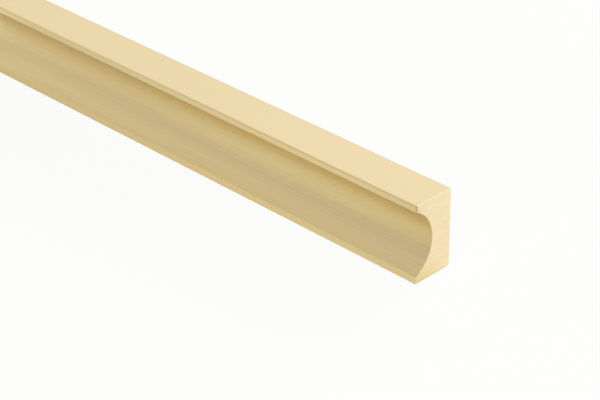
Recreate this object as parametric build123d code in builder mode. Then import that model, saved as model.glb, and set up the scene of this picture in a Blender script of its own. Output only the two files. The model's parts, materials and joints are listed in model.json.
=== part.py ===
"""Cabinet pull cut from one brass bar, with a finger scoop along one side.

X runs along the pull, the scooped side faces -Y, and +Z points away from the
drawer front. The origin is the centre of the face that is screwed down.
All sizes are in millimetres.
"""

import os
from math import radians, tan

from build123d import *

# Bar section
projection = 24.0
section_depth = 13.5
edge_round = 0.5

# Finger scoop, a shallow round channel with the finger's lip above it and a thicker foot below
lip_thickness = 1.9
foot_thickness = 2.5
scoop_depth = 6.2
scoop_edge_round = 0.2

# Blind holes tapped M4 in the mounting face, and the drilled hole below the thread
screw_spacing = 160.0
end_to_screw = 20.0
thread_diameter = 4.0
thread_depth = 8.0
tap_drill_diameter = 3.3
drill_depth = 10.5
drill_point_angle = 118.0
countersink_diameter = 4.5
countersink_angle = 90.0

# Places that follow from the sizes
length = screw_spacing + 2 * end_to_screw
front = -section_depth / 2
back = section_depth / 2
scoop_top = projection - lip_thickness
scoop_middle = (foot_thickness + scoop_top) / 2
web_thickness = section_depth - scoop_depth
web_middle = back - web_thickness / 2
drill_radius = tap_drill_diameter / 2
drill_point_length = drill_radius / tan(radians(drill_point_angle / 2))

with BuildPart() as handle:
    # Rectangular bar, drawn looking along it and pushed out to its length, with rounded edges
    with BuildSketch(Plane.YZ.offset(-length / 2)):
        with Locations((0, projection / 2)):
            Rectangle(section_depth, projection)
    extrude(amount=length)
    fillet(handle.edges(), radius=edge_round)

    # Finger scoop, milled from end to end, with finely broken edges
    with BuildSketch(Plane.YZ.offset(-length / 2)):
        with BuildLine():
            scoop = ThreePointArc(
                (front, foot_thickness),
                (front + scoop_depth, scoop_middle),
                (front, scoop_top),
            )
            Line(scoop @ 1, scoop @ 0)
        make_face()
    extrude(amount=length, mode=Mode.SUBTRACT)
    scoop_wall = handle.faces().filter_by(GeomType.CYLINDER).sort_by(SortBy.AREA)[-1]
    fillet(scoop_wall.edges(), radius=scoop_edge_round)

    # Two tapped holes, centred in the web behind the scoop
    mounting_face = Plane(origin=(0, web_middle, 0), x_dir=(1, 0, 0), z_dir=(0, 0, -1))
    with Locations(mounting_face):
        with GridLocations(screw_spacing, 0, 2, 1):
            CounterSinkHole(
                radius=thread_diameter / 2,
                counter_sink_radius=countersink_diameter / 2,
                depth=thread_depth,
                counter_sink_angle=countersink_angle,
            )
            Hole(radius=drill_radius, depth=drill_depth)
            with Locations((0, 0, -drill_depth)):
                Cone(
                    bottom_radius=0,
                    top_radius=drill_radius,
                    height=drill_point_length,
                    align=(Align.CENTER, Align.CENTER, Align.MAX),
                    mode=Mode.SUBTRACT,
                )

handle.part.label = "handle"

os.makedirs("parts", exist_ok=True)
export_step(handle.part, "parts/handle.step")
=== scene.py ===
"""Looks of a brushed brass cabinet pull that stands on its mounting face on a pale floor.

All sizes and places are in metres. X runs along the pull, the scooped side faces -Y and +Z is up.
"""

import json
from math import cos, pi, radians, sin

import bmesh
import bpy
from mathutils import Matrix, Vector


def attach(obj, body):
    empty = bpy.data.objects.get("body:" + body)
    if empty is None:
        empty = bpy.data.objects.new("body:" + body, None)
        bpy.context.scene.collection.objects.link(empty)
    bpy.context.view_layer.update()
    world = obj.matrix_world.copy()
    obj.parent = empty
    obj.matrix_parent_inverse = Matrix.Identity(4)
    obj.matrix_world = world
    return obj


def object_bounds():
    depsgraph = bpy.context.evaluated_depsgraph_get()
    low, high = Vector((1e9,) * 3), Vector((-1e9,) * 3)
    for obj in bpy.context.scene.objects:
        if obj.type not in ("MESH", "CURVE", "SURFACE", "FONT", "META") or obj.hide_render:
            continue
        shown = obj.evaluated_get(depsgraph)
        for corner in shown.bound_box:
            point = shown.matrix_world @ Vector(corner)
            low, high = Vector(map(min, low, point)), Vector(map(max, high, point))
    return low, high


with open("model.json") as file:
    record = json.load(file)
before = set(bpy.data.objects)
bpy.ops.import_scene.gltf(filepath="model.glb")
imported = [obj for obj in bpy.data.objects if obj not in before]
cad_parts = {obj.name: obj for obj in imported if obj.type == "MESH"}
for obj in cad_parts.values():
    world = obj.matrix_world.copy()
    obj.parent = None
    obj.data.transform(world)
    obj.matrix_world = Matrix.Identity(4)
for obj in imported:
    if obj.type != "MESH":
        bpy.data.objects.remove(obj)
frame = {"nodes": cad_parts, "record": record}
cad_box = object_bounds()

MM = 0.001

# Sides of the pull that the brushing and the floor's light are placed by
scoop_side = cad_box[0][1]
near_end = cad_box[1][0]

# M4 thread in the two screw holes, as one ridge wound up each plain wall
thread_pitch = 0.7 * MM
thread_height = 0.35 * MM
thread_seat = 0.05 * MM
thread_base = 0.67 * MM
thread_crest = 0.21 * MM
thread_start = 0.60 * MM
thread_end = 7.6 * MM
thread_steps = 32

# Run-out at both ends of the thread: its turns, and the share of the ridge that is left there
thread_run_out = 0.5
thread_least = 0.08

# Brass, the darkest and lightest share of its colour, and where between them it is without brushing
brass_colour = (0.88, 0.73, 0.452)
brass_darkest = 0.86
brass_lightest = 1.12
brass_middle = 0.5

# Roughness of the brass, and what is added to it in the scoop
brass_roughness = 0.30
scoop_added_roughness = 0.06

# Faces by their normal, from where one starts to count as an end or as the scoop to where it fully does
end_facing = (0.6, 0.8)
scoop_facing = (-0.2, -0.4)

# Depth behind the flat fronts of the lip and the foot from which the scoop fully counts
scoop_behind_lip = 0.3 * MM

# Brushing in three sizes, with the lines finer on the long faces and shorter on the ends
hairline_width = 0.08 * MM
hairline_length = 14 * MM
hairline_detail = 3.0
streak_width = 0.9 * MM
streak_length = 45 * MM
streak_detail = 2.0
cloud_size = 18 * MM
cloud_detail = 2.0
long_face_fineness = 2
end_shortness = 3

# Strength of the lines everywhere, and what is added to it in the scoop and on the ends
hairline_strength = 0.25
hairline_scoop_strength = 0.35
hairline_end_strength = 0.85
streak_strength = 0.25
streak_scoop_strength = 0.90
streak_end_strength = 1.75

# Share of the brushing in the colour and in the roughness, and the depth of its relief
hairline_tone = 0.45
streak_tone = 0.50
cloud_tone = 0.05
hairline_roughness = 0.10
streak_roughness = 0.05
hairline_relief = 0.05 * MM

# Floor, a little below the pull so that they don't touch
floor_size = 6.0
floor_drop = 0.05 * MM
floor_grey = 0.70

# White that covers the floor for the camera, and its share, with the rest left for the shadow
seen_white = (1.0, 1.0, 0.985)
seen_share = 0.91

# Glow of the floor that only the brass mirrors, and what is added away from the pull and past its near end
floor_glow = 0.15
glow_away = 0.075
glow_past_end = 0.06
glow_end_reach = 24 * MM
glow_scoop_reach = 48 * MM

# Where painted warm light turns the mirrored floor cream on the scoop's side
painted_warmth_edge = (5 * MM, -5 * MM)

# Gap under the pull, across which the brass mirrors the room instead of the floor
floor_gap_reach = 0.3 * MM

# Dimmer stretches of the mirrored floor, each from where it starts to where it is full, and how dim it is
corner_dim_edge = (107 * MM, 167 * MM)
corner_dim = 0.50
front_dim_edge = (-34 * MM, -54 * MM)
front_dim = 0.03
far_dim_edge = (20 * MM, -80 * MM)
far_dim = 0.03
near_dim_edge = (55 * MM, 85 * MM)
near_dim_scoop_edge = (-5 * MM, -15 * MM)
near_dim = 0.06

# Colours of the light and of the floor, and the painted warm light on the mirrored floor
white = (1.0, 1.0, 1.0)
black = (0.0, 0.0, 0.0)
cream = (1.0, 0.915, 0.63)
painted_warmth = (1.0, 0.976, 0.78)

# Room that the brass mirrors: a plain fill with soft boxes, the ones in front of the scoop cream
fill_light = 0.27
floor_fill_light = 0.32
box_narrowness = 4.0
white_boxes = [
    ((-0.55, 0.68, 0.48), 0.46),
    ((0.00, 0.00, 1.00), 0.46),
    ((0.00, 0.98, 0.20), 0.58),
    ((0.75, 0.60, 0.15), 0.76),
    ((0.35, 0.68, 0.64), 0.27),
    ((0.65, -0.65, 0.35), 0.30),
    ((0.00, 0.00, -1.00), 0.45),
]
cream_boxes = [
    ((-0.65, -0.65, 0.35), 0.29),
    ((-0.98, 0.00, 0.20), 0.48),
]

# Lamps that light the floor, each with its place and its watts
lamp_size = 0.5
lamps = [
    ("back_lamp", (0.0, 0.82, 0.38), 7.3),
    ("front_lamp", (0.45, -0.45, 0.64), 6.1),
]

# Camera at the photograph's viewpoint, with its turns in degrees and its lens in millimetres
camera_place = Vector((0.38762, -0.33238, 0.28489))
camera_turn = 45.4050
camera_rise = 59.2091
camera_roll = -0.8665
camera_lens = 118.46
camera_nearest = 10 * MM


class Signal:
    """One output of a shader node. Python arithmetic on it adds Math nodes."""

    def __init__(self, shader, socket):
        self.shader = shader
        self.socket = socket

    def __add__(self, other):
        return self.shader.math("ADD", self, other)

    def __radd__(self, other):
        return self.shader.math("ADD", other, self)

    def __sub__(self, other):
        return self.shader.math("SUBTRACT", self, other)

    def __rsub__(self, other):
        return self.shader.math("SUBTRACT", other, self)

    def __mul__(self, other):
        return self.shader.math("MULTIPLY", self, other)

    def __rmul__(self, other):
        return self.shader.math("MULTIPLY", other, self)

    def __truediv__(self, other):
        return self.shader.math("DIVIDE", self, other)

    def __rtruediv__(self, other):
        return self.shader.math("DIVIDE", other, self)

    def __pow__(self, other):
        return self.shader.math("POWER", self, other)

    def __rpow__(self, other):
        return self.shader.math("POWER", other, self)

    def __abs__(self):
        return self.shader.math("ABSOLUTE", self)

    def clamped(self):
        """The value, kept between 0 and 1."""
        return self.shader.math("MINIMUM", self.shader.math("MAXIMUM", self, 0.0), 1.0)

    def rising(self, edge):
        """0 before the edge starts, 1 where it is full and beyond, and an even slope between."""
        start, full = edge
        return ((self - start) / (full - start)).clamped()


class Shader:
    """The node tree of a material or the world, with one method that adds any node."""

    def __init__(self, owner):
        owner.use_nodes = True
        self.tree = owner.node_tree
        self.tree.nodes.clear()

    def add(self, kind, settings=None, inputs=None, output=0):
        node = self.tree.nodes.new(kind)
        for name, value in (settings or {}).items():
            setattr(node, name, value)
        for name, value in (inputs or {}).items():
            if isinstance(value, Signal):
                self.tree.links.new(value.socket, node.inputs[name])
            else:
                node.inputs[name].default_value = value
        return Signal(self, node.outputs[output]) if node.outputs else node

    def math(self, operation, *values):
        return self.add("ShaderNodeMath", {"operation": operation}, dict(enumerate(values)))

    def split(self, vector):
        """The X, Y and Z of a vector."""
        parts = self.add("ShaderNodeSeparateXYZ", inputs={"Vector": vector})
        return [Signal(self, socket) for socket in parts.socket.node.outputs]

    def stretched(self, place, stretch):
        """A place with each axis multiplied, so that a pattern drawn there is squeezed or drawn out."""
        return self.add("ShaderNodeVectorMath", {"operation": "MULTIPLY"}, {0: place, 1: stretch})

    def noise(self, place, detail, scale=1.0):
        """Noise about zero, from -0.5 to 0.5."""
        inputs = {"Vector": place, "Scale": scale, "Detail": detail}
        return self.add("ShaderNodeTexNoise", {"noise_dimensions": "3D"}, inputs) - 0.5

    def blend(self, mask, where_zero, where_one):
        """A colour between two colours, which are the Mix node's inputs 6 and 7, and output 2."""
        inputs = {"Factor": mask, 6: with_alpha(where_zero), 7: with_alpha(where_one)}
        return self.add("ShaderNodeMix", {"data_type": "RGBA"}, inputs, output=2)

    def mixed(self, mask, where_zero, where_one):
        """A surface between two surfaces."""
        return self.add("ShaderNodeMixShader", inputs={0: mask, 1: where_zero, 2: where_one})

    def both(self, one, other):
        """Two surfaces or two skies, added together."""
        return self.add("ShaderNodeAddShader", inputs={0: one, 1: other})

    def matt(self, colour):
        return self.add("ShaderNodeBsdfDiffuse", inputs={"Color": colour})

    def glowing(self, colour, strength=1.0):
        return self.add("ShaderNodeEmission", inputs={"Color": colour, "Strength": strength})

    def sky(self, colour, strength):
        return self.add("ShaderNodeBackground", inputs={"Color": colour, "Strength": strength})


def with_alpha(colour):
    return (*colour, 1.0)


def shaded(colour, share):
    """A colour made darker or lighter, with no channel over 1."""
    return [min(1.0, channel * share) for channel in colour]


def brushed_brass():
    """Satin brass, brushed along the long faces and across the ends, and a little more matt in the scoop."""
    material = bpy.data.materials.new("brushed_brass")
    shader = Shader(material)
    place = shader.add("ShaderNodeTexCoord", output="Object")
    facing_x, facing_y, _ = shader.split(shader.add("ShaderNodeNewGeometry", output="Normal"))
    _, depth, _ = shader.split(place)
    on_end = abs(facing_x).rising(end_facing)
    behind_lip = depth.rising((scoop_side, scoop_side + scoop_behind_lip))
    in_scoop = facing_y.rising(scoop_facing) * behind_lip

    def strokes(width, length, detail):
        """Lines that follow the brushing."""
        across, along = 1 / width, 1 / length
        fine, short = across * long_face_fineness, along * end_shortness
        on_long_faces = shader.noise(shader.stretched(place, (along, fine, fine)), detail)
        on_end_faces = shader.noise(shader.stretched(place, (across, short, across)), detail)
        return on_long_faces * (1 - on_end) + on_end_faces * on_end

    hairlines = strokes(hairline_width, hairline_length, hairline_detail)
    hairlines *= hairline_strength + in_scoop * hairline_scoop_strength + on_end * hairline_end_strength
    streaks = strokes(streak_width, streak_length, streak_detail)
    streaks *= streak_strength + in_scoop * streak_scoop_strength + on_end * streak_end_strength
    clouds = shader.noise(place, cloud_detail, 1 / cloud_size)

    brushing = hairlines * hairline_tone + streaks * streak_tone + clouds * cloud_tone
    darker = shaded(brass_colour, brass_darkest)
    lighter = shaded(brass_colour, brass_lightest)
    colour = shader.blend((brass_middle + brushing).clamped(), darker, lighter)
    roughness = brass_roughness + in_scoop * scoop_added_roughness
    roughness += hairlines * hairline_roughness + streaks * streak_roughness
    relief = shader.add(
        "ShaderNodeBump",
        inputs={"Strength": 1.0, "Distance": hairline_relief, "Height": hairlines},
    )
    metal = shader.add(
        "ShaderNodeBsdfPrincipled",
        inputs={"Base Color": colour, "Metallic": 1.0, "Roughness": roughness, "Normal": relief},
    )
    shader.add("ShaderNodeOutputMaterial", inputs={"Surface": metal})
    return material


def pale_floor():
    """Floor that the camera sees almost white, with a faint shadow, and sees through from below.

    The brass mirrors it cream with painted warm light on the scoop's side, and dimmer towards the camera's
    corner.
    """
    material = bpy.data.materials.new("pale_floor")
    shader = Shader(material)
    seen = shader.add("ShaderNodeLightPath", output="Is Camera Ray")
    mirrored = shader.add("ShaderNodeLightPath", output="Is Glossy Ray")
    distance = shader.add("ShaderNodeLightPath", output="Ray Length")
    from_below = shader.add("ShaderNodeNewGeometry", output="Backfacing")
    under_pull = mirrored * shader.math("LESS_THAN", distance, floor_gap_reach)
    x, y, _ = shader.split(shader.add("ShaderNodeTexCoord", output="Object"))

    past_end = x.rising((near_end, near_end + glow_end_reach))
    past_scoop = y.rising((scoop_side, scoop_side - glow_scoop_reach))
    away = shader.math("MAXIMUM", past_end, past_scoop)
    glow = mirrored * (floor_glow + away * glow_away + past_end * glow_past_end)

    corner = (x - y).rising(corner_dim_edge) * corner_dim
    front = y.rising(front_dim_edge) * front_dim
    far = x.rising(far_dim_edge) * far_dim
    near = x.rising(near_dim_edge) * y.rising(near_dim_scoop_edge) * near_dim
    dim = mirrored * (corner + front + far + near)

    # Painted warm light: the floor that the brass mirrors turns cream on the scoop's side
    painted_warmth_side = mirrored * y.rising(painted_warmth_edge)
    floor_grey_and_painted_warmth = shader.blend(painted_warmth_side, shaded(white, floor_grey), shaded(painted_warmth, floor_grey))
    tint = shader.blend(painted_warmth_side, white, painted_warmth)
    lit = shader.both(shader.matt(floor_grey_and_painted_warmth), shader.glowing(tint, glow))
    clear = shader.add("ShaderNodeBsdfTransparent")
    surface = shader.mixed(dim, lit, shader.matt(with_alpha(black)))
    surface = shader.mixed(seen * seen_share, surface, shader.glowing(with_alpha(seen_white)))
    surface = shader.mixed(from_below + under_pull, surface, clear)
    shader.add("ShaderNodeOutputMaterial", inputs={"Surface": surface})
    return material


def mesh_object(name, bm, material):
    mesh = bpy.data.meshes.new(name)
    bm.to_mesh(mesh)
    bm.free()
    piece = bpy.data.objects.new(name, mesh)
    bpy.context.scene.collection.objects.link(piece)
    piece.data.materials.append(material)
    return piece


def wind_thread(name, centre, hole_radius, material):
    """The ridge of a right-hand thread, wound up a plain hole wall, with both ends run out in the metal."""
    turns = (thread_end - thread_start) / thread_pitch
    steps = round(turns * thread_steps)
    seat = hole_radius + thread_seat
    bm = bmesh.new()
    rings = []
    for step in range(steps + 1):
        turned = turns * step / steps
        grown = min(1.0, max(thread_least, min(turned, turns - turned) / thread_run_out))
        crest = seat - (thread_seat + thread_height) * grown
        section = [
            (seat, -thread_base / 2),
            (crest, -thread_crest / 2),
            (crest, thread_crest / 2),
            (seat, thread_base / 2),
        ]
        outwards = Vector((cos(2 * pi * turned), sin(2 * pi * turned), 0.0))
        middle = centre + Vector((0.0, 0.0, thread_start + thread_pitch * turned))
        corners = [middle + outwards * reach + Vector((0.0, 0.0, rise)) for reach, rise in section]
        rings.append([bm.verts.new(corner) for corner in corners])
    for lower, upper in zip(rings, rings[1:]):
        for side in range(len(lower)):
            following = (side + 1) % len(lower)
            bm.faces.new((lower[side], lower[following], upper[following], upper[side]))
    bm.faces.new(rings[0])
    bm.faces.new(rings[-1])
    bmesh.ops.recalc_face_normals(bm, faces=bm.faces)
    ridge = mesh_object(name, bm, material)
    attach(ridge, "root")


def lay_floor():
    bm = bmesh.new()
    bmesh.ops.create_grid(bm, x_segments=1, y_segments=1, size=floor_size / 2)
    floor = mesh_object("floor", bm, pale_floor())
    floor.location.z = -floor_drop


def light_room():
    """White surroundings for the camera, a plain fill for the floor, and soft boxes for the brass alone."""
    world = bpy.data.worlds.new("studio")
    bpy.context.scene.world = world
    shader = Shader(world)
    seen = shader.add("ShaderNodeLightPath", output="Is Camera Ray")
    mirrored = shader.add("ShaderNodeLightPath", output="Is Glossy Ray")
    x, y, z = shader.split(shader.add("ShaderNodeTexCoord", output="Generated"))

    def shine(boxes):
        total = 0.0
        for towards, brightness in boxes:
            a, b, c = Vector(towards).normalized()
            total += (x * a + y * b + z * c).clamped() ** box_narrowness * brightness
        return total

    room_light = mirrored * (fill_light + shine(white_boxes))
    floor_light = (1.0 - seen - mirrored) * floor_fill_light
    white_sky = shader.sky(with_alpha(white), seen + room_light + floor_light)
    cream_sky = shader.sky(with_alpha(cream), mirrored * shine(cream_boxes))
    shader.add("ShaderNodeOutputWorld", inputs={"Surface": shader.both(white_sky, cream_sky)})


def hang_lamp(name, place, watts):
    """A soft lamp, aimed at the origin, that neither the camera nor the brass sees."""
    lamp = bpy.data.lights.new(name, "AREA")
    lamp.shape = "SQUARE"
    lamp.size = lamp_size
    lamp.energy = watts
    holder = bpy.data.objects.new(name, lamp)
    holder.location = place
    holder.rotation_euler = (-Vector(place)).to_track_quat("-Z", "Y").to_euler()
    holder.visible_camera = False
    holder.visible_glossy = False
    bpy.context.scene.collection.objects.link(holder)


def place_camera():
    """A camera that looks straight down until it is rolled, raised and turned about the vertical."""
    camera = bpy.data.cameras.new("camera")
    camera.lens = camera_lens
    camera.clip_start = camera_nearest
    holder = bpy.data.objects.new("camera", camera)
    turn = Matrix.Rotation(radians(camera_turn), 4, "Z")
    rise = Matrix.Rotation(radians(camera_rise), 4, "X")
    roll = Matrix.Rotation(radians(camera_roll), 4, "Z")
    holder.matrix_world = Matrix.Translation(camera_place) @ turn @ rise @ roll
    bpy.context.scene.collection.objects.link(holder)
    bpy.context.scene.camera = holder


bpy.context.scene.view_settings.view_transform = "Standard"
place_camera()
lay_floor()
light_room()
for name, place, watts in lamps:
    hang_lamp(name, place, watts)

brass = brushed_brass()
handle = frame["nodes"]["handle"]
for slot in handle.material_slots:
    slot.material = brass

screw_holes = next(mount for mount in frame["record"]["mounts"] if mount["name"] == "screw_holes")
half_spacing = screw_holes["dims"]["spacing_x_mm"] * MM / 2
hole_radius = screw_holes["dims"]["hole_r_mm"] * MM
for name, side in (("screw_thread_left", -1), ("screw_thread_right", 1)):
    centre = Vector(screw_holes["pos_m"]) + Vector((side * half_spacing, 0.0, 0.0))
    wind_thread(name, centre, hole_radius, brass)
